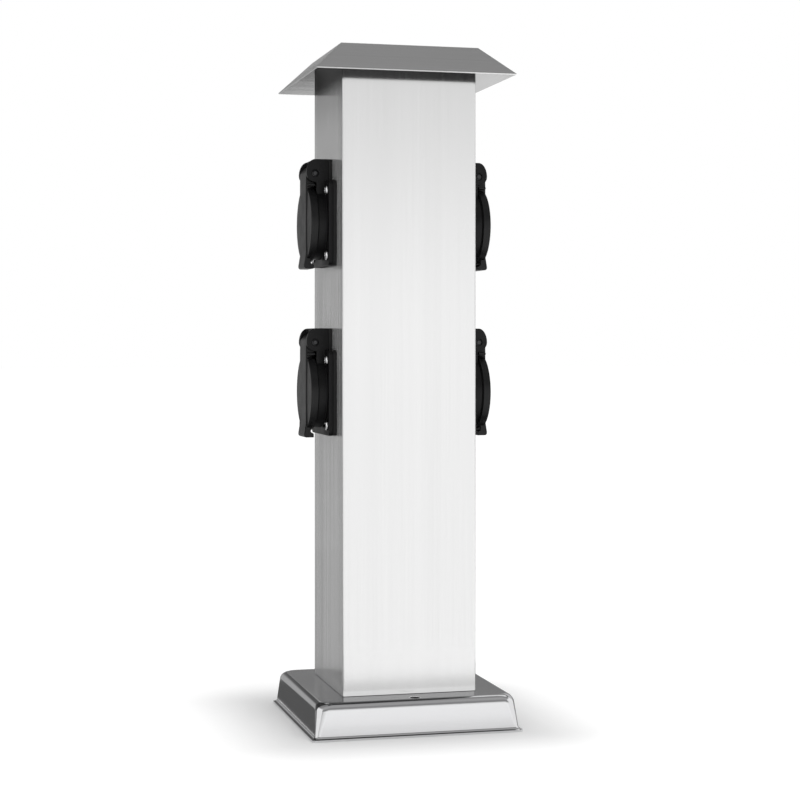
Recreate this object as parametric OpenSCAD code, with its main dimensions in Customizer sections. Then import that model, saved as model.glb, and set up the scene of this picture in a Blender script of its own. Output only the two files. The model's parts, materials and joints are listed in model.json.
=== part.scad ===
/* [Post] */
// Outside width of the square post
post_w = 80; // [76:1:110]
// Sheet thickness of the post
post_wall = 1; // [0.8:0.1:2]
// Outside radius of the post's folded corners
post_corner_r = 1.4; // [1:0.1:3]
// Length of the post, from the base's top to the roof
post_h = 375; // [340:1:500]

/* [Roof] */
// How far the roof's flat top stands out past each side of the post
roof_top_out = 1; // [0.6:0.1:6]
// How far the eave stands out past each side of the post
eave_out = 19; // [12:0.5:30]
// Height from the eave to the flat top
roof_rise = 17; // [12:0.5:30]
// Sheet thickness of the roof
roof_sheet = 0.8; // [0.6:0.1:1.5]
// Sheet thickness of the bracket under the roof
roof_bracket_t = 1.5; // [1:0.1:2.5]
// How far the roof bracket's flanges reach down inside the post
roof_flange_h = 30; // [22:1:40]
// Distance of the roof screws below the post's top
roof_screw_drop = 24; // [19:0.5:26]
// Distance between the two roof screws
roof_screw_pitch = 40; // [20:1:54]

/* [Base] */
// How far the base stands out past each side of the post
base_out = 22; // [19:0.5:40]
// Height of the base's top
base_h = 20.8; // [16:0.2:40]
// Sheet thickness of the base
base_sheet = 1; // [0.8:0.1:2]
// Thickness of the turned-out lip that stands on the ground
lip_t = 1.2; // [0.8:0.1:2]
// How far the lip stands out past the foot of the skirt
lip_out = 2; // [1:0.1:4]
// How far the skirt leans in between the lip and the top edge
skirt_lean = 1; // [0:0.1:3]
// Radius of the rounded top edge
base_edge_r = 4.4; // [2:0.1:6]
// Radius of the base's corners at the ground
base_corner_low_r = 2; // [1.5:0.1:6]
// Radius of the base's corners at the top
base_corner_top_r = 8; // [4:0.5:12]
// Distance from the post's face to the centre of an anchor hole
anchor_out = 11; // [8:0.5:13]
// Diameter of an anchor hole
anchor_d = 6.6; // [4:0.1:8]

/* [Foot bracket] */
// Sheet thickness of the foot bracket
foot_t = 2; // [1.5:0.1:3]
// Length of the foot bracket, from front to back
foot_len = 60; // [54:1:70]
// Height of the foot bracket's side flanges
foot_flange_h = 18; // [10:1:40]
// Distance between base screws from side to side
base_screw_x = 52; // [46:1:56]
// Distance between base screws from front to back
base_screw_y = 40; // [30:1:44]

/* [Sockets] */
// Height of the lower sockets' centres above the ground
socket_z = 195; // [150:0.5:230]
// Distance from a lower socket's centre to the upper one's
socket_pitch = 99.5; // [85:0.5:120]
// Width and height of a socket's flange
flange_w = 50; // [50:0.5:54]
// Thickness of the flange
flange_t = 2.7; // [2:0.1:4]
// Radius of the flange's corners
flange_corner_r = 3; // [1:0.5:6]
// Thickness of the rubber gasket between flange and post
gasket_t = 2; // [1:0.1:3]
// Distance between flange screws, both ways
screw_pitch = 38; // [38:0.5:42]
// Height of the flange screws' heads
screw_head_h = 1.1; // [0.9:0.1:2.2]
// Outside radius of the collar round the plug well
collar_r = 21; // [20.9:0.1:21.1]
// Height of the collar above the flange
collar_h = 5.1; // [4:0.1:8]
// Radius of the plug well
well_r = 19.75; // [19.5:0.05:19.9]
// Depth of the plug well below the collar's rim
well_depth = 17.5; // [17:0.1:20]
// Distance between the two pin holes
pin_hole_pitch = 19; // [18:0.5:20]

/* [Lids] */
// Radius of the lid
lid_r = 22.4; // [22:0.1:23]
// Height of the lid's rim
rim_h = 4.4; // [3.6:0.1:5]
// How far the lid's face is domed
dome_h = 0.3; // [0.3:0.1:3]
// Width of the raised band down the lid
band_w = 18; // [14:0.5:20]
// Distance of the band's face from the post
band_out = 15.2; // [15:0.1:18]
// How far the finger tab's end leans out past the band's face
tab_lean = 1; // [0.6:0.1:3]
// Height over which the band leans out to the tab's end
tab_lean_h = 6; // [3:0.5:10]
// How far the finger tab reaches below the flange's lower edge
tab_drop = 1.5; // [0.5:0.1:5]
// Height of the finger tab's end
tab_h = 2.2; // [1.5:0.1:4]

/* [Hinges] */
// Height of the hinge pin above the flange's top edge
pin_rise = 4.5; // [4.4:0.1:6]
// Diameter of the hinge pin
pin_d = 4; // [3:0.1:4.2]
// Outside radius of the lid's knuckle
knuckle_r = 5; // [4.8:0.1:5.2]
// Thickness of each hinge ear
ear_t = 2.9; // [2:0.1:4]
// Height of the hinge block above the pin
block_rise = 8.3; // [8:0.1:10]
// Wire diameter of the lid spring
spring_wire = 0.8; // [0.6:0.1:0.8]
// Turns of the lid spring
spring_turns = 5; // [3:1:5]
// Height of the lid's shoulder under the hinge ears
shoulder_h = 1.3; // [0.8:0.1:1.6]

/* [Cable entry] */
// Height of the cable gland above the base's top
gland_rise = 29; // [22:1:60]
// Distance of the gland from the middle of the post's back, clear of the anchor hole below
gland_side = 22; // [16:1:26]
// Thread diameter of the cable gland
gland_d = 16; // [14:1:18]
// Bore of the gland's rubber seal
seal_bore = 9.6; // [6:0.1:10]
// Height of the terminal block
block_h = 22; // [20:1:30]

/* [Hidden] */
$fn = 64;
SLOTS = [["left_upper", -1, 1], ["left_lower", -1, 0], ["right_upper", 1, 1], ["right_lower", 1, 0]];
KINDS = ["gasket", "housing", "insert", "contacts", "earth_clip", "hinge_pin", "lid", "lid_seal",
         "lid_spring"];
SHARED = ["post_tube", "roof_cap", "roof_bracket", "roof_screws", "base_cover", "foot_bracket",
          "base_screws", "base_nuts", "earth_screw", "earth_lug", "gland_body", "gland_ring",
          "gland_seal", "gland_cap", "gland_locknut", "terminal_block", "block_clamps",
          "block_screws", "wire_live", "wire_neutral", "wire_earth", "flange_screws",
          "flange_nuts", "terminal_screws"];

// Fits
seat = 0.1;
screw_clear = 0.25;
thread_gap = 0.05;
pin_fit = 0.02;
pin_run = 0.06;
lid_side_gap = 0.25;
lid_gap = 0.3;
seal_gap = 0.1;
eps = 0.01;

// Post and roof
half = post_w / 2;
inside = half - post_wall;
post_top = base_h + post_h;
roof_top = post_top + roof_sheet;
eave_z = roof_top - roof_rise;
eave_half = half + eave_out;
roof_top_half = half + roof_top_out;
slope = atan2(roof_rise, eave_half - roof_top_half);
roof_screw_z = post_top - roof_screw_drop;
roof_screw_r = 2;
roof_screw_grip = 4;
bracket_edge = 8;
head_r = 3.8;
head_h = 2.5;

// Base
base_half = half + base_out;
skirt_half = base_half - lip_out;
skirt_top_half = skirt_half - skirt_lean;
anchor_y = half + anchor_out;
base_screw_r = 2.5;
base_head_r = 4.75;
base_head_h = 2.7;
base_nut_h = 4;
foot_z = base_h + foot_t;
earth_x = -base_screw_x / 2;
earth_screw_r = 2;
lug_t = 0.8;
lug_r = 4.5;
barrel_r = 2;
barrel_start = lug_r + 0.5;
barrel_len = 6;

// Sockets, measured outwards from the post's wall
face_h = gasket_t + flange_t;
collar_top = face_h + collar_h;
well_floor = collar_top - well_depth;
sleeve_r = well_r + 1.5;
cutout_r = sleeve_r + 0.5;
ledge_r = well_r - 1.5;
ledge_t = 1.2;
insert_r = well_r - 0.15;
insert_back = well_floor - 11.3;
sleeve_back = insert_back + 1;
bead_r = well_r - 0.75;
screw_r = 1.5;
screw_head_r = 2.9;
nut_h = 2.4;
contact_r = 2.9;
contact_bore_r = 2.45;
cage_d = 6.5;
cage_w = 7;
cage_h = 8;
wire_r = 1.2;
core_straight = 8;
core_bend = 12;
core_join = 34;
earth_straight = 4;
earth_loop = 8;
wire_hole_r = 1.3;
wire_h = insert_back - cage_d / 2;
terminal_r = 1.2;
clip_w = 4;
clip_t = 0.8;
clip_z = 17;

// Hinges and lids
pin_r = pin_d / 2;
pin_h = collar_top + lid_gap;
pin_z = flange_w / 2 + pin_rise;
block_top = pin_z + block_rise;
slot_w = band_w + 2 * lid_side_gap;
hinge_w = slot_w + 2 * ear_t;
ear_r = knuckle_r + 0.2;
slot_back = pin_h - knuckle_r - 0.6;
pin_nose_r = 0.65 * pin_r;
pin_groove = 0.8;
shoulder_top = pin_z - knuckle_r - 1.2;
web_out = collar_top - 0.4;
stop_drop = knuckle_r + 1;
stop_out = 0.8;
rim_low = collar_top + lid_gap;
rim_top = rim_low + rim_h;
dome_top = rim_top + dome_h;
dome_r = (lid_r * lid_r + dome_h * dome_h) / (2 * dome_h);
seal_out_r = collar_r + 0.2;
seal_in_r = well_r - 0.35;
seal_pocket = rim_low + 1.5;
tab_low = -flange_w / 2 - tab_drop;
coil_r = 3;
coil_pitch = spring_wire + 0.5;
coil_w = spring_turns * coil_pitch + coil_pitch / 2;
coil_cell_r = coil_r + spring_wire / 2 + 0.4;
coil_cell_w = coil_w + spring_wire + 0.8;
leg = 9;

// Gland and terminal block
gland_z = base_h + gland_rise;
gland_r = gland_d / 2;
gland_hex_r = gland_r + 3.4;
gland_round_r = gland_hex_r * cos(30) - 0.2;
gland_neck_r = gland_r - 0.4;
gland_pocket_r = gland_r - 1.6;
gland_bore_r = seal_bore / 2 + 0.5;
gland_flange_t = 5;
gland_ring_t = 1;
gland_in = 9;
gland_out = 10;
gland_nut_t = 5;
seal_low = gland_ring_t + gland_flange_t + 2;
seal_len = 9;
cap_low = gland_ring_t + gland_flange_t + 0.6;
cap_hex_h = 7;
cap_nose = 3;
block_x = 24;
pole_pitch = pin_hole_pitch / 2;
clamp_w = 8.2;
core_off = 1.7;
clamp_h = 12;
clamp_z = foot_z + block_h - clamp_h - 2;
clamp_floor = 2;
block_y = 2 * pole_pitch + clamp_w + 3;
peg_y = pole_pitch / 2;
peg_r = 2;
block_screw_x = block_x / 2 - 2;
tunnel_r = 1.9;
core_start = clamp_z + 3;
core_free = clamp_z + clamp_h;

function unit(v) = v / norm(v);
function arc(c, r, a0, a1, n = 12) =
    [for (i = [0:n]) let (a = a0 + (a1 - a0) * i / n) [c[0] + r * cos(a), c[1] + r * sin(a)]];
function oval(c, rx, ry, a0, a1, n = 12) =
    [for (i = [0:n]) let (a = a0 + (a1 - a0) * i / n) [c[0] + rx * cos(a), c[1] + ry * sin(a)]];

// A ring of points round a path's point, square to the path
function path_ring(p, i, r, sides) =
    let (a = p[max(i - 1, 0)], b = p[min(i + 1, len(p) - 1)], t = unit(b - a),
         side = abs(t[1]) > 0.9 ? [1, 0, 0] : [0, 1, 0],
         u = unit(cross(t, side)), v = cross(t, u))
    [for (k = [0:sides - 1]) p[i] + r * (cos(360 * k / sides) * u + sin(360 * k / sides) * v)];

// A closed skin over rings of equal counts, capped at both ends
module skin(rings) {
    n = len(rings[0]);
    m = len(rings);
    polyhedron(
        points = [for (ring = rings) each ring],
        faces = concat(
            [[for (k = [0:n - 1]) k]],
            [for (i = [0:m - 2], k = [0:n - 1]) let (a = i * n + k, b = i * n + (k + 1) % n)
                each [[a, b + n, b], [a, a + n, b + n]]],
            [[for (k = [n - 1:-1:0]) (m - 1) * n + k]]),
        convexity = 6);
}

module tube_along(path, r, sides = 8) {
    skin([for (i = [0:len(path) - 1]) path_ring(path, i, r, sides)]);
}

// A square with round corners
module round_square(w, h, r) {
    square([w - 2 * r, h], center = true);
    square([w, h - 2 * r], center = true);
    for (x = [-1, 1], y = [-1, 1]) translate([x * (w / 2 - r), y * (h / 2 - r)]) circle(r);
}

// Cylinders along the X and Y axes, from one place to another
module along_x(r, from, to) translate([from, 0, 0]) rotate([0, 90, 0]) cylinder(r = r, h = to - from);
module along_y(r, from, to) translate([0, from, 0]) rotate([-90, 0, 0]) cylinder(r = r, h = to - from);

// A side profile, drawn as [outwards, up], given a width across
module across(w) rotate([90, 0, 0]) translate([0, 0, -w / 2]) linear_extrude(w) children();

// A pan-head screw that points down, with its head above zero
module pan_screw(r, head_r, head_h, length, recess = true) {
    difference() {
        union() {
            translate([0, 0, -length]) cylinder(r = r, h = length);
            cylinder(r = head_r, h = head_h * 0.5);
            translate([0, 0, head_h * 0.5]) cylinder(r1 = head_r, r2 = head_r * 0.72, h = head_h * 0.5);
        }
        if (recess) for (a = [0, 90]) rotate([0, 0, a])
            translate([-head_r * 0.55, -head_r * 0.11, head_h * 0.45])
                cube([head_r * 1.1, head_r * 0.22, head_h]);
    }
}

module hex_nut(r, across_flats, h) {
    difference() {
        cylinder(r = across_flats / 2 / cos(30), h = h, $fn = 6);
        translate([0, 0, -eps]) cylinder(r = r, h = h + 2 * eps);
    }
}

// Puts a socket's piece, drawn outwards along +X, on its side of the post
module at_socket(s) {
    translate([s[1] * half, 0, socket_z + s[2] * socket_pitch]) rotate([0, 0, s[1] < 0 ? 180 : 0])
        children();
}

module at_flange_screws() {
    for (y = [-1, 1], z = [-1, 1]) translate([0, y * screw_pitch / 2, z * screw_pitch / 2]) children();
}

module post_tube() {
    color("silver") difference() {
        translate([0, 0, base_h]) linear_extrude(post_h) difference() {
            round_square(post_w, post_w, post_corner_r);
            square(post_w - 2 * post_wall, center = true);
        }
        for (s = SLOTS) at_socket(s) {
            along_x(cutout_r, -post_wall - 1, 1);
            at_flange_screws() along_x(screw_r + screw_clear, -post_wall - 1, 1);
        }
        translate([gland_side, 0, gland_z]) along_y(gland_r + screw_clear, inside - 1, half + 1);
        for (x = [-1, 1]) translate([x * roof_screw_pitch / 2, 0, roof_screw_z])
            along_y(roof_screw_r + screw_clear, inside - 1, half + 1);
    }
}

// A truncated pyramid: one side profile run both ways and kept where the two meet
module pyramid(profile) {
    intersection() {
        across(4 * eave_half) polygon(profile);
        rotate([0, 0, 90]) across(4 * eave_half) polygon(profile);
    }
}

function both_sides(right) =
    concat(right, [for (i = [len(right) - 1:-1:0]) [-right[i][0], right[i][1]]]);

module roof_cap() {
    cut_x = roof_sheet * sin(slope);
    cut_z = roof_sheet * cos(slope);
    run = roof_sheet / sin(slope);
    flat = roof_sheet / tan(slope);
    deep = 5;
    color("lightgray") difference() {
        pyramid(both_sides([[eave_half - cut_x, eave_z - cut_z], [eave_half, eave_z],
                            [roof_top_half, roof_top]]));
        pyramid(both_sides([[eave_half - run + deep / tan(slope), eave_z - deep],
                            [roof_top_half - run + flat, roof_top - roof_sheet]]));
    }
}

module roof_bracket() {
    low = post_top - roof_flange_h;
    w = roof_screw_pitch + 2 * bracket_edge;
    depth = 2 * (inside - seat);
    color("gray") difference() {
        translate([-w / 2, -depth / 2, low]) cube([w, depth, roof_flange_h]);
        translate([-w / 2 - 1, -depth / 2 + roof_bracket_t, low - 1])
            cube([w + 2, depth - 2 * roof_bracket_t, roof_flange_h + 1 - roof_bracket_t]);
        for (x = [-1, 1]) translate([x * roof_screw_pitch / 2, 0, roof_screw_z])
            along_y(roof_screw_r + thread_gap, 0, half);
    }
}

module roof_screws() {
    length = post_wall + roof_bracket_t + roof_screw_grip;
    color("white") for (x = [-1, 1]) translate([x * roof_screw_pitch / 2, half, roof_screw_z])
        rotate([-90, 0, 0]) pan_screw(roof_screw_r, head_r, head_h, length);
}

// One level of the base: a square of this half-width with round corners
function level(z, h, r, n = 6) =
    [for (q = [0:3], i = [0:n]) let (a = 90 * q + 90 * i / n,
        cx = (q == 0 || q == 3) ? h - r : r - h, cy = q < 2 ? h - r : r - h)
        [cx + r * cos(a), cy + r * sin(a), z]];

function corner_r(z) = base_corner_low_r + (base_corner_top_r - base_corner_low_r) * z / base_h;

module base_cover() {
    edge_z = base_h - base_edge_r;
    foot = lip_t + lip_out;
    inner_r = base_edge_r - base_sheet;
    outer = concat(
        [[0, base_half], [lip_t, base_half]],
        [for (a = [20:20:90]) [foot - lip_out * cos(a), base_half - lip_out * sin(a)]],
        [[(foot + edge_z) / 2, (skirt_half + skirt_top_half) / 2]],
        [for (a = [0:15:90]) [edge_z + base_edge_r * sin(a),
                              skirt_top_half - base_edge_r * (1 - cos(a))]]);
    inner = concat(
        [[-1, skirt_half - base_sheet], [foot, skirt_half - base_sheet]],
        [for (a = [0:18:90]) [edge_z + inner_r * sin(a),
                              skirt_top_half - base_sheet - inner_r * (1 - cos(a))]]);
    color("lightsteelblue") difference() {
        skin([for (p = outer) level(p[0], p[1], corner_r(p[0]))]);
        skin([for (p = inner) level(p[0], p[1], max(corner_r(max(p[0], 0)) - base_sheet, 0.5))]);
        for (y = [-1, 1]) translate([0, y * anchor_y, base_h - base_sheet - 1])
            cylinder(d = anchor_d, h = base_sheet + 2);
        at_base_screws() translate([0, 0, base_h - base_sheet - 1])
            cylinder(r = base_screw_r + screw_clear, h = base_sheet + 2);
    }
}

module at_base_screws() {
    for (x = [-1, 1], y = [-1, 1]) translate([x * base_screw_x / 2, y * base_screw_y / 2, 0]) children();
}

module foot_bracket() {
    w = 2 * (inside - seat);
    color("dimgray") difference() {
        translate([-w / 2, -foot_len / 2, base_h]) cube([w, foot_len, foot_flange_h]);
        translate([-w / 2 + foot_t, -foot_len / 2 - 1, foot_z])
            cube([w - 2 * foot_t, foot_len + 2, foot_flange_h]);
        at_base_screws() translate([0, 0, base_h - 1])
            cylinder(r = base_screw_r + screw_clear, h = foot_t + 2);
        for (y = [-1, 1]) translate([0, y * peg_y, base_h - 1])
            cylinder(r = peg_r + screw_clear, h = foot_t + 2);
        translate([earth_x, 0, base_h - 1]) cylinder(r = earth_screw_r + thread_gap, h = foot_t + 2);
    }
}

module base_screws() {
    color("white") at_base_screws() translate([0, 0, base_h - base_sheet]) mirror([0, 0, 1])
        pan_screw(base_screw_r, base_head_r, base_head_h, base_sheet + foot_t + base_nut_h + 1);
}

module base_nuts() {
    color("gold") at_base_screws() translate([0, 0, foot_z])
        hex_nut(base_screw_r + thread_gap, 8, base_nut_h);
}

module earth_screw() {
    color("gold") translate([earth_x, 0, foot_z + lug_t])
        pan_screw(earth_screw_r, head_r, head_h, lug_t + foot_t - seat);
}

// Ring terminal under the earth screw, with its crimped barrel
module earth_lug() {
    color("khaki") translate([earth_x, 0, foot_z]) difference() {
        union() {
            cylinder(r = lug_r, h = lug_t);
            translate([-barrel_r, 0, 0]) cube([2 * barrel_r, barrel_start + barrel_len / 2, lug_t]);
            translate([0, 0, barrel_r]) along_y(barrel_r, barrel_start, barrel_start + barrel_len);
        }
        translate([0, 0, -1]) cylinder(r = earth_screw_r + screw_clear, h = lug_t + 2);
        translate([0, 0, barrel_r]) along_y(wire_hole_r, barrel_start + 1, barrel_start + barrel_len + 1);
    }
}

module at_gland() translate([gland_side, half, gland_z]) rotate([-90, 0, 0]) children();

module gland_body() {
    low = gland_ring_t;
    color("#202020") at_gland() difference() {
        union() {
            translate([0, 0, low - gland_in - post_wall]) cylinder(r = gland_r, h = gland_in + post_wall);
            translate([0, 0, low]) cylinder(r = gland_hex_r, h = gland_flange_t, $fn = 6);
            translate([0, 0, low]) cylinder(r = gland_neck_r, h = gland_flange_t + gland_out);
        }
        translate([0, 0, low - gland_in - post_wall - 1])
            cylinder(r = gland_bore_r, h = gland_in + post_wall + gland_flange_t + gland_out + 2);
        translate([0, 0, seal_low]) cylinder(r = gland_pocket_r, h = gland_out);
    }
}

module gland_ring() {
    color("#101010") at_gland() difference() {
        cylinder(r = gland_round_r, h = gland_ring_t);
        translate([0, 0, -1]) cylinder(r = gland_r + seat, h = gland_ring_t + 2);
    }
}

module gland_seal() {
    color("#303030") at_gland() translate([0, 0, seal_low]) difference() {
        cylinder(r = gland_pocket_r - seat, h = seal_len);
        translate([0, 0, -1]) cylinder(d = seal_bore, h = seal_len + 2);
    }
}

module gland_cap() {
    top = seal_low + seal_len;
    color("#181818") at_gland() difference() {
        union() {
            translate([0, 0, cap_low]) cylinder(r = gland_hex_r, h = cap_hex_h, $fn = 6);
            translate([0, 0, cap_low]) cylinder(r = gland_round_r, h = top - cap_low - 1);
            translate([0, 0, top - 1]) cylinder(r1 = gland_round_r, r2 = gland_r, h = cap_nose);
        }
        translate([0, 0, cap_low - 1]) cylinder(r = gland_neck_r + thread_gap, h = top - cap_low + 1.3);
        translate([0, 0, cap_low - 1]) cylinder(r = gland_bore_r, h = top + cap_nose - cap_low + 1);
    }
}

module gland_locknut() {
    color("#282828") at_gland() translate([0, 0, -post_wall - gland_nut_t])
        hex_nut(gland_r + thread_gap, 2 * gland_hex_r * cos(30), gland_nut_t);
}

module terminal_block() {
    color("ivory") difference() {
        union() {
            translate([-block_x / 2, -block_y / 2, foot_z]) cube([block_x, block_y, block_h]);
            for (y = [-1, 1]) translate([0, y * peg_y, base_h + seat]) cylinder(r = peg_r, h = foot_t);
        }
        for (p = [-1:1]) translate([0, p * pole_pitch, 0]) {
            translate([-clamp_w / 2 - seat, -clamp_w / 2 - seat, clamp_z])
                cube([clamp_w + 2 * seat, clamp_w + 2 * seat, block_h]);
            translate([0, 0, clamp_z + clamp_h / 2]) along_x(tunnel_r, 0, block_x);
        }
    }
}

module block_clamps() {
    color("gold") for (p = [-1:1]) translate([0, p * pole_pitch, clamp_z]) difference() {
        translate([-clamp_w / 2, -clamp_w / 2, 0]) cube([clamp_w, clamp_w, clamp_h]);
        for (x = [-1, 1], y = [-1, 1]) translate([x * core_off, y * core_off, clamp_floor])
            cylinder(r = wire_hole_r, h = clamp_h);
        translate([0, 0, clamp_h / 2]) along_x(terminal_r + thread_gap, clamp_w / 2 - 0.9, clamp_w);
    }
}

module block_screws() {
    length = block_screw_x - clamp_w / 2 + 0.6;
    color("white") for (p = [-1:1]) translate([block_screw_x, p * pole_pitch, clamp_z + clamp_h / 2])
        rotate([0, 90, 0]) pan_screw(terminal_r, tunnel_r - 0.2, 1.6, length, false);
}

// Cores from the block to each lower socket, and on from there to the upper one
module cores(y) {
    z = core_free + core_straight;
    x = half + wire_h;
    for (side = [-1, 1]) {
        tube_along([[side * core_off, y - core_off, core_start], [side * core_off, y - core_off, z],
                    [side * x / 2, y - core_off / 2, z + core_bend], [side * x, y, z + core_join],
                    [side * x, y, socket_z - 0.3]], wire_r);
        tube_along([[side * x, y, socket_z + 0.3], [side * x, y, socket_z + socket_pitch + 2.5]], wire_r);
    }
}

module wire_live() color("saddlebrown") cores(-pole_pitch);

module wire_neutral() color("royalblue") cores(pole_pitch);

module wire_earth() {
    z = core_free + earth_straight;
    mouth = barrel_start + barrel_len;
    color("yellowgreen") {
        cores(0);
        tube_along([[-core_off, core_off, core_start], [-core_off, core_off, z],
                    [-earth_loop, earth_loop / 2, z + earth_loop / 2],
                    [earth_x + 6, mouth - 1, z + earth_loop / 2], [earth_x, mouth + 2.5, z - 6],
                    [earth_x, mouth + 3, foot_z + earth_loop],
                    [earth_x, mouth + 2, foot_z + barrel_r + 1.2],
                    [earth_x, mouth + 0.4, foot_z + barrel_r],
                    [earth_x, barrel_start + 1.5, foot_z + barrel_r]], wire_r);
    }
}

module flange_screws() {
    color("white") for (s = SLOTS) at_socket(s) at_flange_screws() translate([face_h, 0, 0])
        rotate([0, 90, 0]) pan_screw(screw_r, screw_head_r, screw_head_h, face_h + post_wall + nut_h + 0.8);
}

module flange_nuts() {
    color("gold") for (s = SLOTS) at_socket(s) at_flange_screws() translate([-post_wall, 0, 0])
        rotate([0, -90, 0]) hex_nut(screw_r + thread_gap, 5.5, nut_h);
}

module terminal_screws() {
    color("white") for (s = SLOTS) at_socket(s) for (y = [-1:1])
        translate([insert_back - cage_d - 0.2, y * pin_hole_pitch / 2, 0]) rotate([0, -90, 0])
            pan_screw(terminal_r, 2, 1.4, cage_d / 2 - wire_r - 0.1, false);
}

// Flange and hinge block seen from outside, as [across, up]
module flange_outline() {
    round_square(flange_w, flange_w, flange_corner_r);
    translate([-hinge_w / 2, 0]) square([hinge_w, block_top]);
}

// A flat outline, drawn as [across, up], given a thickness outwards
module outwards(from, to) {
    translate([from, 0, 0]) rotate([90, 0, 90]) linear_extrude(to - from) children();
}

module gasket(s) {
    color("#151515") at_socket(s) difference() {
        outwards(0, gasket_t) flange_outline();
        along_x(cutout_r, -1, gasket_t + 1);
        at_flange_screws() along_x(screw_r + screw_clear, -1, gasket_t + 1);
    }
}

// Ear and web beside the slot, as [outwards, up]
function ear_outline() = concat(
    [[gasket_t, 15], [web_out, 15], [web_out, pin_z - ear_r]],
    arc([pin_h, pin_z], ear_r, -90, 0, 8),
    oval([pin_h, pin_z], ear_r, block_rise, 6, 90, 14),
    [[gasket_t, block_top]]);

module housing(s) {
    stop_z = pin_z + stop_drop;
    color("#1c1c1c") at_socket(s) difference() {
        union() {
            outwards(gasket_t, face_h) round_square(flange_w, flange_w, flange_corner_r);
            along_x(collar_r, gasket_t, collar_top);
            along_x(sleeve_r, sleeve_back, gasket_t + 0.5);
            across(hinge_w) polygon(ear_outline());
        }
        along_x(well_r, well_floor, collar_top + 1);
        along_x(ledge_r, well_floor - ledge_t - 1, collar_top);
        along_x(well_r, insert_back + 2, well_floor - ledge_t);
        along_x(bead_r, sleeve_back - 1, well_floor - ledge_t - 1);
        translate([slot_back, -slot_w / 2, 0]) cube([20, slot_w, stop_z]);
        translate([pin_h + stop_out, -slot_w / 2, 0]) cube([20, slot_w, block_top + 1]);
        translate([pin_h, 0, pin_z]) along_y(pin_r + pin_fit, -hinge_w, hinge_w);
        at_flange_screws() along_x(screw_r + 0.2, 0, face_h + 1);
    }
}

module insert(s) {
    color("#262626") at_socket(s) difference() {
        union() {
            along_x(ledge_r - 0.15, well_floor - ledge_t - 1, well_floor);
            along_x(insert_r, insert_back + 2.1, well_floor - ledge_t);
            along_x(bead_r - 0.2, insert_back, insert_back + 2.2);
        }
        for (y = [-1, 1]) translate([0, y * pin_hole_pitch / 2, 0]) {
            along_x(contact_r - 0.1, well_floor - 3, well_floor + 1);
            along_x(contact_r + seat, insert_back - 1, well_floor - 1.3);
        }
        for (z = [-1, 1]) translate([insert_back - 1, -clip_w / 2 - 0.3, z * clip_z - 1.3])
            cube([well_floor - insert_back + 2, clip_w + 0.6, 2.6]);
    }
}

module contacts(s) {
    color("gold") at_socket(s) for (y = [-1, 1]) translate([0, y * pin_hole_pitch / 2, 0]) difference() {
        union() {
            along_x(contact_r, insert_back - 1, well_floor - 1.4);
            translate([insert_back - cage_d, -cage_w / 2, -cage_h / 2]) cube([cage_d, cage_w, cage_h]);
        }
        along_x(contact_bore_r, insert_back + 0.5, well_floor);
        translate([wire_h, 0, -cage_h]) cylinder(r = wire_hole_r, h = 2 * cage_h);
        along_x(terminal_r + thread_gap, insert_back - cage_d - 1, wire_h);
    }
}

// Half of the earth clip's bent strip, as [outwards, up]
function clip_half() = let (t = clip_t, b = insert_back - clip_t, z = clip_z + clip_t / 2, k = well_floor) [
    [b, 0], [b, z], [k + 5, z], [k + 8.5, z - 1.2], [k + 12, z],
    [k + 12.2, z - t], [k + 8.5, z - 1.2 - t], [k + 5.2, z - t], [b + t, z - t], [b + t, 0]];

module earth_clip(s) {
    color("khaki") at_socket(s) difference() {
        union() {
            across(clip_w) {
                polygon(clip_half());
                mirror([0, 1]) polygon(clip_half());
            }
            translate([insert_back - cage_d, -cage_w / 2 + 0.6, -cage_h / 2])
                cube([cage_d - eps, cage_w - 1.2, cage_h]);
        }
        translate([wire_h, 0, -cage_h]) cylinder(r = wire_hole_r, h = 2 * cage_h);
        along_x(terminal_r + thread_gap, insert_back - cage_d - 1, wire_h);
    }
}

// Pin with a turned-down nose at each end, which leaves a groove round it in the ear
module hinge_pin(s) {
    color("gray") at_socket(s) translate([pin_h, 0, pin_z]) {
        along_y(pin_r, pin_groove - hinge_w / 2, hinge_w / 2 - pin_groove);
        along_y(pin_nose_r, -hinge_w / 2, hinge_w / 2);
    }
}

// Side profile of the lid's band, from the knuckle down to the finger tab
function band_outline() = let (low = band_out + tab_lean, r = 1.4) concat(
    [[pin_h + knuckle_r, pin_z], [band_out, flange_w / 2 - 1],
     [band_out, tab_low + tab_h + tab_lean_h], [low, tab_low + tab_h]],
    arc([low - r, tab_low + r], r, 0, -90, 5),
    [[rim_low + 0.2, tab_low], [rim_low + 0.2, tab_low + tab_h], [rim_low + 2, tab_low + tab_h + 1],
     [rim_low + 2, 0], [rim_low + 2, lid_r - 3], [rim_low, lid_r - 0.6], [rim_low, pin_z]]);

module lid(s) {
    color("#222222") at_socket(s) difference() {
        union() {
            rotate([0, 90, 0]) rotate_extrude() intersection() {
                translate([0, rim_low]) square([lid_r, rim_h + dome_h]);
                translate([0, dome_top - dome_r]) circle(dome_r, $fn = 720);
            }
            across(band_w) polygon(band_outline());
            translate([pin_h, 0, pin_z]) along_y(knuckle_r, -band_w / 2, band_w / 2);
            translate([rim_low, -hinge_w / 2, shoulder_top - shoulder_h])
                cube([rim_h, hinge_w, shoulder_h]);
        }
        along_x(seal_out_r + 0.1, rim_low - 1, seal_pocket);
        along_x(seal_in_r - 1.2, rim_low, rim_top - 0.8);
        translate([pin_h, 0, pin_z]) {
            along_y(pin_r + pin_run, -band_w, band_w);
            along_y(coil_cell_r, -coil_cell_w / 2, coil_cell_w / 2);
            spring_slot();
            translate([coil_r, coil_w / 2, -leg - 0.6])
                cylinder(r = spring_wire / 2 + 0.25, h = leg + 0.6);
        }
    }
}

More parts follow.
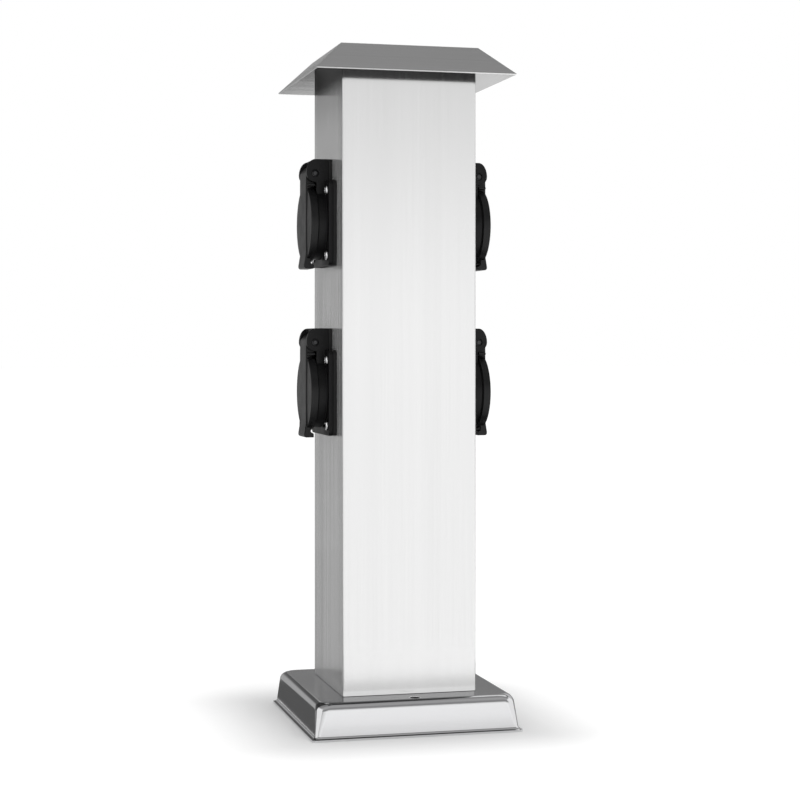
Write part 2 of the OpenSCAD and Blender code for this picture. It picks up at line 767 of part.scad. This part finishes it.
// Gap in the back of the knuckle, through which the spring's fixed leg comes out
module spring_slot() {
    across(coil_cell_w) polygon(concat([[0, 0]], arc([0, 0], knuckle_r + 2, 100, 236, 10)));
}

module lid_seal(s) {
    color("#0c0c0c") at_socket(s) difference() {
        along_x(seal_out_r, collar_top + seal_gap, seal_pocket);
        along_x(seal_in_r, collar_top, seal_pocket + 1);
    }
}

// Torsion spring round the pin: leg on the housing, coils, leg in the lid
function spring_path() = concat(
    [[-coil_r - 2.05, -coil_w / 2, -leg]],
    [for (i = [0:12 * spring_turns + 6]) let (a = 180 - 30 * i)
        [coil_r * cos(a), -coil_w / 2 + coil_w * i / (12 * spring_turns + 6), coil_r * sin(a)]],
    [[coil_r, coil_w / 2, -leg]]);

module lid_spring(s) {
    color("lightblue") at_socket(s) translate([pin_h, 0, pin_z])
        tube_along(spring_path(), spring_wire / 2, 6);
}

post_tube();
roof_cap();
roof_bracket();
roof_screws();
base_cover();
foot_bracket();
base_screws();
base_nuts();
earth_screw();
earth_lug();
gland_body();
gland_ring();
gland_seal();
gland_cap();
gland_locknut();
terminal_block();
block_clamps();
block_screws();
wire_live();
wire_neutral();
wire_earth();
flange_screws();
flange_nuts();
terminal_screws();
for (s = SLOTS) {
    gasket(s);
    housing(s);
    insert(s);
    contacts(s);
    earth_clip(s);
    hinge_pin(s);
    lid(s);
    lid_seal(s);
    lid_spring(s);
}
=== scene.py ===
import json
from math import pi, radians

import bmesh
import bpy
from mathutils import Matrix, Vector


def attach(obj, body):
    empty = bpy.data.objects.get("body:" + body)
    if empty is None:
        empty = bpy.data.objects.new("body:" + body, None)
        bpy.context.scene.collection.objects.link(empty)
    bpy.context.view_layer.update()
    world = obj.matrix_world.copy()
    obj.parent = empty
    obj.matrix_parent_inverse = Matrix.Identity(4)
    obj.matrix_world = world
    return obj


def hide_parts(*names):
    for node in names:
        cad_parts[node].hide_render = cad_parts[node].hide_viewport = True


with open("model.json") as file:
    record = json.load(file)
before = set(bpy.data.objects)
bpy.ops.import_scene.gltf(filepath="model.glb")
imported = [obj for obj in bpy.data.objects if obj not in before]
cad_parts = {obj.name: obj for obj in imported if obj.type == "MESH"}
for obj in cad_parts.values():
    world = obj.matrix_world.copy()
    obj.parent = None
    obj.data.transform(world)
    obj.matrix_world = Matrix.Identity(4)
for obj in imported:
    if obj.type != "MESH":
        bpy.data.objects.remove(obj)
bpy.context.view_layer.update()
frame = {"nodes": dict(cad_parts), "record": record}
print("stage: frame loaded,", len(frame["nodes"]), "nodes")

scene = bpy.context.scene
scene.view_settings.view_transform = "Standard"

slots = ["left_upper", "left_lower", "right_upper", "right_lower"]
slotOf = {part["node"]: part["material_slot"] for part in frame["record"]["subparts"]}


# Camera at the photograph's place: level, so that the post's edges stay upright

cameraSettings = {
    "place": (-0.2743, -1.0921, 0.2245),
    "turn": -14.31,     # degrees round the post
    "lens": 84.4,       # millimetres
    "sensor": 36,       # the sensor's width, millimetres
    "lower": -0.072,    # how far the view is shifted down, as a share of its width
    "nearest": 0.01,    # what is nearer than this isn't drawn
}


def makeCamera(settings):
    camera = bpy.data.objects.new("camera", bpy.data.cameras.new("camera"))
    scene.collection.objects.link(camera)
    camera.location = settings["place"]
    camera.rotation_euler = (radians(90), 0, radians(settings["turn"]))
    camera.data.lens = settings["lens"]
    camera.data.shift_y = settings["lower"]
    camera.data.sensor_width = settings["sensor"]
    camera.data.clip_start = settings["nearest"]
    scene.camera = camera


makeCamera(cameraSettings)
print("stage: camera")


# Studio: white world, pale floor with a painted contact shadow round the base, and grey cards for the steel
# to mirror

studioSettings = {
    "skyLight": 0.75,            # how much the world lights rough surfaces
    # from which reflection on, and to what share of itself, a thing gets darker
    "floorDims": [(2, 0.12)],                  # the floor, the sky and the flat cards
    "cardDims": [(3, 0.12)],                   # the upright cards
    "frontDims": [(3, 0.12), (2, 0.62)],       # the front light
    "floorSize": 30,
    "floorColour": 0.82,
    "floorLift": 0.44,           # lifts the lit floor to white and keeps the shadow, which is partly painted near the base
    "footHalf": 0.0605,          # half the width of the ground that the base covers
    "footEdge": 0.001,           # how gently that ground's edge fades
    "paintedShadowLift": 0.12,         # painted contact shadow: share of the lift under the base, so that the floor is darker at its foot
    "paintedShadowNear": -0.02,        # painted contact shadow: distance from the base's foot where the lift starts to grow
    "paintedShadowFar": 0.085,         # distance from it where the lift is whole again and the painted contact shadow ends
    "keyPower": 9,
    "keySize": 1.4,
    "keyPlace": (0.75, -1.5, 1.7),
    "keyAim": (0, 0, 0.15),
    "backFar": 6.0,
    "backHeight": 5.0,
    # turn round the post, width, low grey, high grey, height where it starts to change, where it ends
    "backCards": [(-50, 3.4, 0.08, 0.08, 0.9, 1.5), (-16, 4.4, 0.42, 0.09, 0.9, 1.6),
                  (20, 3.4, 0.21, 0.64, 1.5, 2.0), (50, 3.4, 0.30, 0.60, 1.5, 2.0)],
    # width, height, place and grey of the dark card high up behind
    "backTop": (6.0, 4.0, (1.6, 5.5, 4.4), 0.12),
    # low x, high x, low y, high y, height, grey of the cards just over the floor
    "floorCards": [(-8.0, -0.064, -0.2, 6.4, 0.0006, 0.40), (-0.064, 8.0, 0.064, 6.4, 0.0008, 0.40),
                   (-0.17, -0.0635, -0.075, 0.15, 0.0012, 0.10), (-0.035, 0.20, 0.045, 0.20, 0.20, 1.00),
                   (-0.14, 0.14, -0.19, -0.063, 0.0010, 0.72), (-0.15, 0.14, 0.9, 1.7, 0.0010, 0.76),
                   (0.063, 0.25, -0.058, 0.064, 0.0012, 0.06),
                   (-6.0, 6.0, -10.0, -0.30, 0.0016, 1.11)],
    # the same for the cards overhead: dark at the back, lighter towards the front
    "topCards": [(-1.5, 1.5, 0.7, 3.0, 1.5, 0.04), (-1.5, 1.5, -0.1, 0.7, 1.5, 0.28),
                 (-1.5, 1.5, -1.5, -0.1, 1.5, 0.40)],
    "frontFar": 10.0,
    "frontWidth": 24.0,
    "frontHeight": 3.2,
    "frontGreys": (1.13, 0.82, 0.3, 2.3),     # low, high, height where it starts to change, where it ends
    "hoodFar": 9.6,              # the darker card above the front light
    "hoodLow": 2.9,
    "hoodHigh": 30.0,
    "hoodGrey": 0.28,
}
white = (1, 1, 1, 1)
upright = Matrix.Rotation(pi / 2, 4, "X")     # stands a flat card up


def nodeTree(material):
    material.use_nodes = True
    tree = material.node_tree
    tree.nodes.clear()
    return tree


def addNode(tree, kind, **values):
    node = tree.nodes.new(kind)
    for name, value in values.items():
        if hasattr(node, name):
            setattr(node, name, value)
        else:
            node.inputs[name].default_value = value
    return node


def feed(tree, socket, value):      # links a socket to another one, or sets its value
    if isinstance(value, bpy.types.NodeSocket):
        tree.links.new(value, socket)
    else:
        socket.default_value = value


def mathNode(tree, operation, *values):
    node = addNode(tree, "ShaderNodeMath", operation=operation)
    for socket, value in zip(node.inputs, values):
        feed(tree, socket, value)
    return node.outputs[0]


def remap(tree, value, fromLow, fromHigh, toLow, toHigh, style="LINEAR"):
    node = addNode(tree, "ShaderNodeMapRange", interpolation_type=style)
    ends = {"From Min": fromLow, "From Max": fromHigh, "To Min": toLow, "To Max": toHigh}
    for name, end in ends.items():
        feed(tree, node.inputs[name], end)
    tree.links.new(value, node.inputs["Value"])
    return node.outputs[0]


def pointPlace(tree):      # where the shaded point is
    return addNode(tree, "ShaderNodeTexCoord").outputs["Object"]


def pointAxis(tree, axis):      # its X, Y or Z
    split = addNode(tree, "ShaderNodeSeparateXYZ")
    tree.links.new(pointPlace(tree), split.inputs[0])
    return split.outputs[axis]


def glow(tree, strength):
    shader = addNode(tree, "ShaderNodeEmission", Color=white)
    feed(tree, shader.inputs["Strength"], strength)
    return shader.outputs[0]


def showSurface(tree, shader):
    output = addNode(tree, "ShaderNodeOutputMaterial")
    tree.links.new(shader, output.inputs["Surface"])


def seenDirectly(tree):      # 1 for rays from the camera, mirrored ones and ones through clear things
    path = addNode(tree, "ShaderNodeLightPath")
    mirrored = mathNode(tree, "MAXIMUM", path.outputs["Is Camera Ray"], path.outputs["Is Glossy Ray"])
    return mathNode(tree, "MAXIMUM", mirrored, path.outputs["Is Transmission Ray"])


# A value that gets darker for rays that have been mirrored often enough; the depths are whole numbers
def dimmed(tree, value, dims):
    for reflection, share in dims:
        path = addNode(tree, "ShaderNodeLightPath")
        reached = mathNode(tree, "GREATER_THAN", path.outputs["Glossy Depth"], reflection - 0.5)
        value = mathNode(tree, "MULTIPLY", value, remap(tree, reached, 0, 1, 1, share))
    return value


def makeWorld(settings):
    world = bpy.data.worlds.new("studio")
    scene.world = world
    tree = nodeTree(world)
    plain = remap(tree, seenDirectly(tree), 0, 1, settings["skyLight"], 1)
    background = addNode(tree, "ShaderNodeBackground", Color=white)
    output = addNode(tree, "ShaderNodeOutputWorld")
    tree.links.new(dimmed(tree, plain, settings["floorDims"]), background.inputs["Strength"])
    tree.links.new(background.outputs[0], output.inputs["Surface"])


def planeMesh(name, width, height, matrix):
    mesh = bpy.data.meshes.new(name)
    bm = bmesh.new()
    bmesh.ops.create_grid(bm, x_segments=1, y_segments=1, size=0.5)     # half of 1 m
    bmesh.ops.scale(bm, vec=(width, height, 1), verts=bm.verts)
    bm.transform(matrix)
    bm.to_mesh(mesh)
    bm.free()
    plane = bpy.data.objects.new(name, mesh)
    scene.collection.objects.link(plane)
    return plane


def fromFoot(tree, settings):      # distance outside the base's foot, and 0 or 1 for under or outside it
    out = []
    for axis in ("X", "Y"):
        away = mathNode(tree, "ABSOLUTE", pointAxis(tree, axis))
        out.append(mathNode(tree, "SUBTRACT", away, settings["footHalf"]))
    outside = remap(tree, mathNode(tree, "MAXIMUM", *out), -settings["footEdge"], 0, 0, 1)
    squares = [mathNode(tree, "POWER", mathNode(tree, "MAXIMUM", value, 0), 2) for value in out]
    distance = mathNode(tree, "SQRT", mathNode(tree, "ADD", *squares))
    return distance, outside


def makeFloor(settings):
    floor = planeMesh("floor", settings["floorSize"], settings["floorSize"], Matrix())
    material = bpy.data.materials.new("floorPaper")
    tree = nodeTree(material)
    paper = addNode(tree, "ShaderNodeBsdfDiffuse")
    tree.links.new(dimmed(tree, settings["floorColour"], settings["floorDims"]), paper.inputs["Color"])
    # painted contact shadow: the floor's white lift is smaller close to the base's foot and none under it,
    # so the floor is painted darker there
    distance, outside = fromFoot(tree, settings)
    paintedShadowRise = remap(tree, distance, settings["paintedShadowNear"], settings["paintedShadowFar"],
                 settings["paintedShadowLift"], 1, "SMOOTHERSTEP")
    share = mathNode(tree, "MULTIPLY", paintedShadowRise, outside)
    seen = dimmed(tree, seenDirectly(tree), settings["floorDims"])
    lift = mathNode(tree, "MULTIPLY", mathNode(tree, "MULTIPLY", seen, share), settings["floorLift"])
    both = addNode(tree, "ShaderNodeAddShader")
    tree.links.new(paper.outputs[0], both.inputs[0])
    tree.links.new(glow(tree, lift), both.inputs[1])
    showSurface(tree, both.outputs[0])
    floor.data.materials.append(material)


def greyCard(name, width, height, matrix, greys, dims):      # it shows only in reflections
    lowGrey, highGrey, lowZ, highZ = greys
    card = planeMesh(name, width, height, matrix)
    material = bpy.data.materials.new(name)
    tree = nodeTree(material)
    grey = remap(tree, pointAxis(tree, "Z"), lowZ, highZ, lowGrey, highGrey, "SMOOTHSTEP")
    showSurface(tree, glow(tree, dimmed(tree, grey, dims)))
    card.data.materials.append(material)
    card.visible_camera = False
    card.visible_diffuse = False
    card.visible_shadow = False
    card.visible_transmission = False


def evenGrey(grey):      # low and high grey, and two heights, for a card of one grey
    return grey, grey, 0, 1


def makeFlatCards(name, cards, dims):
    for number, (lowX, highX, lowY, highY, z, grey) in enumerate(cards):
        middle = Matrix.Translation(((lowX + highX) / 2, (lowY + highY) / 2, z))
        greyCard("%s%d" % (name, number), highX - lowX, highY - lowY, middle, evenGrey(grey), dims)


def makeFrontCard(name, far, width, low, high, greys, dims):
    middle = Matrix.Translation((0, -far, (low + high) / 2))
    greyCard(name, width, high - low, middle @ upright, greys, dims)


def makeBackCards(settings):
    dims = settings["cardDims"]
    away = Matrix.Translation((0, settings["backFar"], settings["backHeight"] / 2))
    for number, (turn, width, *greys) in enumerate(settings["backCards"]):
        spin = Matrix.Rotation(radians(-turn), 4, "Z")
        greyCard("backCard%d" % number, width, settings["backHeight"], spin @ away @ upright, greys, dims)
    width, height, place, grey = settings["backTop"]
    greyCard("backTop", width, height, Matrix.Translation(place) @ upright, evenGrey(grey), dims)


def makeKeyLight(settings):
    key = bpy.data.objects.new("keyLight", bpy.data.lights.new("keyLight", "AREA"))
    scene.collection.objects.link(key)
    key.data.energy = settings["keyPower"]
    key.data.size = settings["keySize"]
    key.location = settings["keyPlace"]
    aim = Vector(settings["keyAim"]) - key.location
    key.rotation_euler = aim.to_track_quat("-Z", "Y").to_euler()
    key.visible_glossy = False
    key.visible_camera = False


def makeStudio(settings):
    makeWorld(settings)
    makeFloor(settings)
    makeBackCards(settings)
    makeFlatCards("floorCard", settings["floorCards"], settings["floorDims"])
    makeFlatCards("topCard", settings["topCards"], settings["floorDims"])
    makeFrontCard("frontLight", settings["frontFar"], settings["frontWidth"], 0, settings["frontHeight"],
                  settings["frontGreys"], settings["frontDims"])
    makeFrontCard("frontHood", settings["hoodFar"], settings["frontWidth"], settings["hoodLow"],
                  settings["hoodHigh"], evenGrey(settings["hoodGrey"]), settings["cardDims"])
    makeKeyLight(settings)


makeStudio(studioSettings)
print("stage: studio")


# Materials

noiseSettings = {
    "fine": {"Detail": 4, "Roughness": 0.6},
    "broad": {"Detail": 2, "Roughness": 0.6},
    "grain": {"Detail": 3, "Roughness": 0.55},
    "cloud": {"Detail": 3, "Roughness": 0.6},
}
noiseMiddle = 0.5
noiseUsual = (0.3, 0.7)     # nearly all of a noise lies between these
streakGain = 5              # how far the steel's tone swings for its spread
streakDepth = 0.00002       # metres


def noiseNode(tree, kind, vector, scale):
    noise = addNode(tree, "ShaderNodeTexNoise", Scale=scale, **noiseSettings[kind])
    tree.links.new(vector, noise.inputs["Vector"])
    return noise.outputs["Fac"]


def streaks(tree, kind, scale):      # a noise that is stretched along the axis with the smallest scale
    mapping = addNode(tree, "ShaderNodeMapping", Scale=scale)
    tree.links.new(pointPlace(tree), mapping.inputs["Vector"])
    return noiseNode(tree, kind, mapping.outputs[0], 1)


def vary(tree, noise, middle, spread):      # a value that swings round its middle with the noise
    return remap(tree, noise, *noiseUsual, middle - spread, middle + spread)


def paint(tree, settings, tone, height, depth, inputs):      # what steel, plastic and rubber share
    colour = addNode(tree, "ShaderNodeVectorMath", operation="SCALE")
    colour.inputs[0].default_value = settings["colour"]
    tree.links.new(tone, colour.inputs["Scale"])
    relief = addNode(tree, "ShaderNodeBump", Strength=settings["reliefStrength"], Distance=depth)
    tree.links.new(height, relief.inputs["Height"])
    shader = addNode(tree, "ShaderNodeBsdfPrincipled")
    for name, value in {"Base Color": colour.outputs[0], "Normal": relief.outputs[0], **inputs}.items():
        feed(tree, shader.inputs[name], value)
    return shader.outputs[0]


def paintedReflectionGlow(tree, surface, settings):      # painted reflection: the base's flat top in front of the post glows as plain grey light for rays mirrored once, so the post's front shows this glow in place of the steel's own reflection
    highY, lowZ = settings["paintedReflectionPart"]
    path = addNode(tree, "ShaderNodeLightPath")
    once = mathNode(tree, "COMPARE", path.outputs["Glossy Depth"], 1)
    inFront = mathNode(tree, "LESS_THAN", pointAxis(tree, "Y"), highY)
    onTop = mathNode(tree, "GREATER_THAN", pointAxis(tree, "Z"), lowZ)
    paintedGlowMask = mathNode(tree, "MULTIPLY", once, mathNode(tree, "MULTIPLY", inFront, onTop))
    mixed = addNode(tree, "ShaderNodeMixShader")
    for number, value in enumerate((paintedGlowMask, surface, glow(tree, settings["paintedReflectionGrey"]))):
        tree.links.new(value, mixed.inputs[number])
    return mixed.outputs[0]


def streakedSteel(name, settings):      # fine streaks along one way, in its tone, its gloss and its relief
    material = bpy.data.materials.new(name)
    tree = nodeTree(material)
    fine = streaks(tree, "fine", settings["fineScale"])
    broad = streaks(tree, "broad", settings["broadScale"])
    mixed = addNode(tree, "ShaderNodeMix", data_type="FLOAT")     # its sockets for numbers are 0, 2 and 3
    for number, value in {0: settings["broadShare"], 2: fine, 3: broad}.items():
        feed(tree, mixed.inputs[number], value)
    spread = settings["toneSpread"]
    metallic = 1
    if "sideSpread" in settings:      # the two side faces show their streaks more and mirror less sharply
        away = mathNode(tree, "ABSOLUTE", pointAxis(tree, "X"))
        side = remap(tree, away, *settings["sideReach"], 0, 1)
        spread = remap(tree, side, 0, 1, spread, settings["sideSpread"])
        haze = remap(tree, pointAxis(tree, "Z"), *settings["hazeTop"], settings["sideHaze"], 0)
        metallic = mathNode(tree, "SUBTRACT", 1, mathNode(tree, "MULTIPLY", side, haze))
    centred = mathNode(tree, "SUBTRACT", mixed.outputs[0], noiseMiddle)
    swing = mathNode(tree, "MULTIPLY", mathNode(tree, "MULTIPLY", centred, spread), streakGain)
    surface = paint(tree, settings, mathNode(tree, "ADD", swing, 1), fine, streakDepth, {
        "Metallic": metallic,
        "Roughness": vary(tree, fine, settings["roughness"], settings["roughSpread"]),
        "Anisotropic": settings["anisotropy"],
        "Anisotropic Rotation": settings["grainTurn"],
    })
    # the base's flat top gets a painted reflection: a glow that only once-mirrored rays see
    if "paintedReflectionPart" in settings:
        surface = paintedReflectionGlow(tree, surface, settings)
    showSurface(tree, surface)
    return material


def mouldedPlastic(name, settings):      # plastic or rubber: a fine grain in its relief, clouds in its gloss
    material = bpy.data.materials.new(name)
    tree = nodeTree(material)
    grain = noiseNode(tree, "grain", pointPlace(tree), settings["grainScale"])
    cloud = noiseNode(tree, "cloud", pointPlace(tree), settings["cloudScale"])
    tone = vary(tree, cloud, 1, settings["toneSpread"])
    surface = paint(tree, settings, tone, grain, settings["reliefDepth"], {
        "Roughness": vary(tree, cloud, settings["roughness"], settings["roughSpread"]),
        "Specular IOR Level": settings["specular"],
    })
    showSurface(tree, surface)
    return material


plainMetal = {"broadShare": 0.5, "anisotropy": 0.0, "grainTurn": 0.0}     # has no grain of its own

steelSettings = {
    "post_steel": {
        "colour": (0.78, 0.78, 0.78), "toneSpread": 0.03, "roughness": 0.21, "roughSpread": 0.03,
        # the side faces: their streaks, where they start across the post, how much they scatter the
        # light instead of mirroring it, and the heights between which that ends, below the eave
        "sideSpread": 0.28, "sideReach": (0.0388, 0.0398), "sideHaze": 0.22, "hazeTop": (0.352, 0.366),
        "fineScale": (900, 900, 6), "broadScale": (90, 90, 1.2), "broadShare": 0.45,
        "reliefStrength": 0.12, "anisotropy": 0.97, "grainTurn": 0.0,
    },
    "roof_steel": {
        "colour": (0.80, 0.80, 0.80), "toneSpread": 0.04, "roughness": 0.18, "roughSpread": 0.03,
        "fineScale": (8, 8, 1300), "broadScale": (2, 2, 200), "broadShare": 0.3,
        "reliefStrength": 0.12, "anisotropy": 0.85, "grainTurn": 0.25,
    },
    "base_steel": {
        # painted reflection: how bright the flat top glows for rays mirrored once, as the post's front shows
        # it, and where that glow lies: below this y, above this z
        "paintedReflectionGrey": 0.86, "paintedReflectionPart": (-0.0402, 0.0198),
        "colour": (0.74, 0.74, 0.75), "toneSpread": 0.04, "roughness": 0.13, "roughSpread": 0.02,
        "fineScale": (8, 8, 1300), "broadScale": (2, 2, 200), "broadShare": 0.3,
        "reliefStrength": 0.10, "anisotropy": 0.6, "grainTurn": 0.25,
    },
    "bracket_steel": {
        "colour": (0.62, 0.62, 0.63), "toneSpread": 0.06, "roughness": 0.34, "roughSpread": 0.05,
        "fineScale": (300, 300, 300), "broadScale": (40, 40, 40), **plainMetal,
        "reliefStrength": 0.1,
    },
    "screw_steel": {
        "colour": (0.88, 0.88, 0.89), "toneSpread": 0.03, "roughness": 0.16, "roughSpread": 0.03,
        "fineScale": (900, 900, 900), "broadScale": (120, 120, 120), **plainMetal,
        "reliefStrength": 0.05,
    },
    "zinc_steel": {
        "colour": (0.72, 0.71, 0.67), "toneSpread": 0.08, "roughness": 0.32, "roughSpread": 0.06,
        "fineScale": (700, 700, 700), "broadScale": (90, 90, 90), **plainMetal,
        "reliefStrength": 0.1,
    },
    "pin_steel": {
        "colour": (0.06, 0.06, 0.062), "toneSpread": 0.08, "roughness": 0.32, "roughSpread": 0.05,
        "fineScale": (900, 900, 900), "broadScale": (90, 90, 90), **plainMetal,
        "reliefStrength": 0.08,
    },
    "spring_steel": {
        "colour": (0.56, 0.56, 0.57), "toneSpread": 0.05, "roughness": 0.24, "roughSpread": 0.04,
        "fineScale": (900, 900, 900), "broadScale": (90, 90, 90), **plainMetal,
        "reliefStrength": 0.05,
    },
    "brass": {
        "colour": (0.80, 0.62, 0.30), "toneSpread": 0.07, "roughness": 0.24, "roughSpread": 0.05,
        "fineScale": (700, 700, 700), "broadScale": (90, 90, 90), **plainMetal,
        "reliefStrength": 0.06,
    },
    "spring_brass": {
        "colour": (0.76, 0.70, 0.55), "toneSpread": 0.06, "roughness": 0.25, "roughSpread": 0.05,
        "fineScale": (700, 700, 700), "broadScale": (90, 90, 90), **plainMetal,
        "reliefStrength": 0.06,
    },
    "tinned_copper": {
        "colour": (0.75, 0.74, 0.72), "toneSpread": 0.06, "roughness": 0.3, "roughSpread": 0.05,
        "fineScale": (700, 700, 700), "broadScale": (90, 90, 90), **plainMetal,
        "reliefStrength": 0.06,
    },
}

insulation = {
    "grainScale": 1500, "cloudScale": 120, "reliefStrength": 0.08, "reliefDepth": 0.00003,
    "specular": 0.5,
}

plasticSettings = {
    "black_plastic": {
        "colour": (0.008, 0.008, 0.0085), "toneSpread": 0.15, "roughness": 0.36, "roughSpread": 0.05,
        "grainScale": 2600, "cloudScale": 120, "reliefStrength": 0.12, "reliefDepth": 0.00003,
        "specular": 0.18,
    },
    "lid_plastic": {
        "colour": (0.009, 0.009, 0.0095), "toneSpread": 0.15, "roughness": 0.34, "roughSpread": 0.05,
        "grainScale": 2600, "cloudScale": 120, "reliefStrength": 0.14, "reliefDepth": 0.00003,
        "specular": 0.25,
    },
    "insert_plastic": {
        "colour": (0.025, 0.025, 0.026), "toneSpread": 0.12, "roughness": 0.5, "roughSpread": 0.06,
        "grainScale": 2200, "cloudScale": 120, "reliefStrength": 0.2, "reliefDepth": 0.00004,
        "specular": 0.5,
    },
    "rubber": {
        "colour": (0.014, 0.014, 0.014), "toneSpread": 0.2, "roughness": 0.65, "roughSpread": 0.08,
        "grainScale": 1800, "cloudScale": 160, "reliefStrength": 0.3, "reliefDepth": 0.00005,
        "specular": 0.3,
    },
    "ivory_plastic": {
        "colour": (0.78, 0.74, 0.62), "toneSpread": 0.03, "roughness": 0.42, "roughSpread": 0.05,
        "grainScale": 2200, "cloudScale": 120, "reliefStrength": 0.1, "reliefDepth": 0.00003,
        "specular": 0.5,
    },
    "brown_insulation": {
        "colour": (0.22, 0.10, 0.045), "toneSpread": 0.06, "roughness": 0.4, "roughSpread": 0.05,
        **insulation,
    },
    "blue_insulation": {
        "colour": (0.04, 0.13, 0.46), "toneSpread": 0.06, "roughness": 0.4, "roughSpread": 0.05,
        **insulation,
    },
    "green_insulation": {
        "colour": (0.33, 0.58, 0.08), "toneSpread": 0.06, "roughness": 0.4, "roughSpread": 0.05,
        **insulation,
    },
}

materials = {name: streakedSteel(name, values) for name, values in steelSettings.items()}
materials.update({name: mouldedPlastic(name, values) for name, values in plasticSettings.items()})
print("stage: materials,", len(materials))


# Pieces with their edges rounded over, each in place of its CAD node

# how wide the rounding is for each kind of piece, metres
edgeSettings = {
    "post_tube": 0.00025, "roof_cap": 0.00012, "base_cover": 0.00015,
    "roof_screws": 0.0002, "flange_screws": 0.0002, "base_screws": 0.0002,
    "gland_body": 0.0003, "gland_cap": 0.0004, "gland_ring": 0.0002, "gland_seal": 0.0003,
    "gasket": 0.0003, "housing": 0.00035, "insert": 0.0002, "hinge_pin": 0.0003,
    "lid": 0.00035, "lid_seal": 0.0002, "earth_clip": 0.0001,
}
edgeSegments = 3
edgeAngle = radians(32)        # an edge that turns less than this isn't rounded
flatAngle = radians(0.5)       # faces that turn less than this become one
joinDistance = 1e-6            # metres; corners nearer than this become one
normalWeight = 50


def bodyOf(node):
    for body, members in frame["record"]["behaviour"]["bodies"].items():
        if node in members:
            return body
    return None


def settle(piece):      # works the piece's modifiers into its mesh
    depsgraph = bpy.context.evaluated_depsgraph_get()
    mesh = bpy.data.meshes.new_from_object(piece.evaluated_get(depsgraph))
    piece.modifiers.clear()
    piece.data = mesh


def makeRounded(node, width):      # a copy of the node with round edges, in place of the node
    mesh = bpy.data.meshes.new(node + "_finished")
    bm = bmesh.new()
    bm.from_mesh(frame["nodes"][node].data)
    bmesh.ops.remove_doubles(bm, verts=bm.verts, dist=joinDistance)
    bmesh.ops.dissolve_limit(bm, angle_limit=flatAngle, verts=bm.verts, edges=bm.edges)
    for face in bm.faces:
        face.smooth = True
    bm.to_mesh(mesh)
    bm.free()
    piece = bpy.data.objects.new(node + "_finished", mesh)
    scene.collection.objects.link(piece)
    bevel = piece.modifiers.new("edges", "BEVEL")
    bevel.width = width
    bevel.segments = edgeSegments
    bevel.limit_method = "ANGLE"
    bevel.angle_limit = edgeAngle
    bevel.use_clamp_overlap = False
    bevel.harden_normals = False
    bevel.miter_outer = "MITER_ARC"
    weighted = piece.modifiers.new("normals", "WEIGHTED_NORMAL")
    weighted.weight = normalWeight
    weighted.keep_sharp = True
    settle(piece)
    piece.data.materials.clear()
    piece.data.materials.append(materials[slotOf[node]])
    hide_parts(node)
    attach(piece, bodyOf(node))


def kindOf(node):      # the node's name without its socket's place
    for slotName in slots:
        if node.endswith("_" + slotName):
            return node[: -len(slotName) - 1]
    return node


for node, cadObject in frame["nodes"].items():
    kind = kindOf(node)
    if kind in edgeSettings:
        makeRounded(node, edgeSettings[kind])
    else:
        cadObject.data.materials.clear()
        cadObject.data.materials.append(materials[slotOf[node]])
print("stage: pieces")


print("stage: finished")
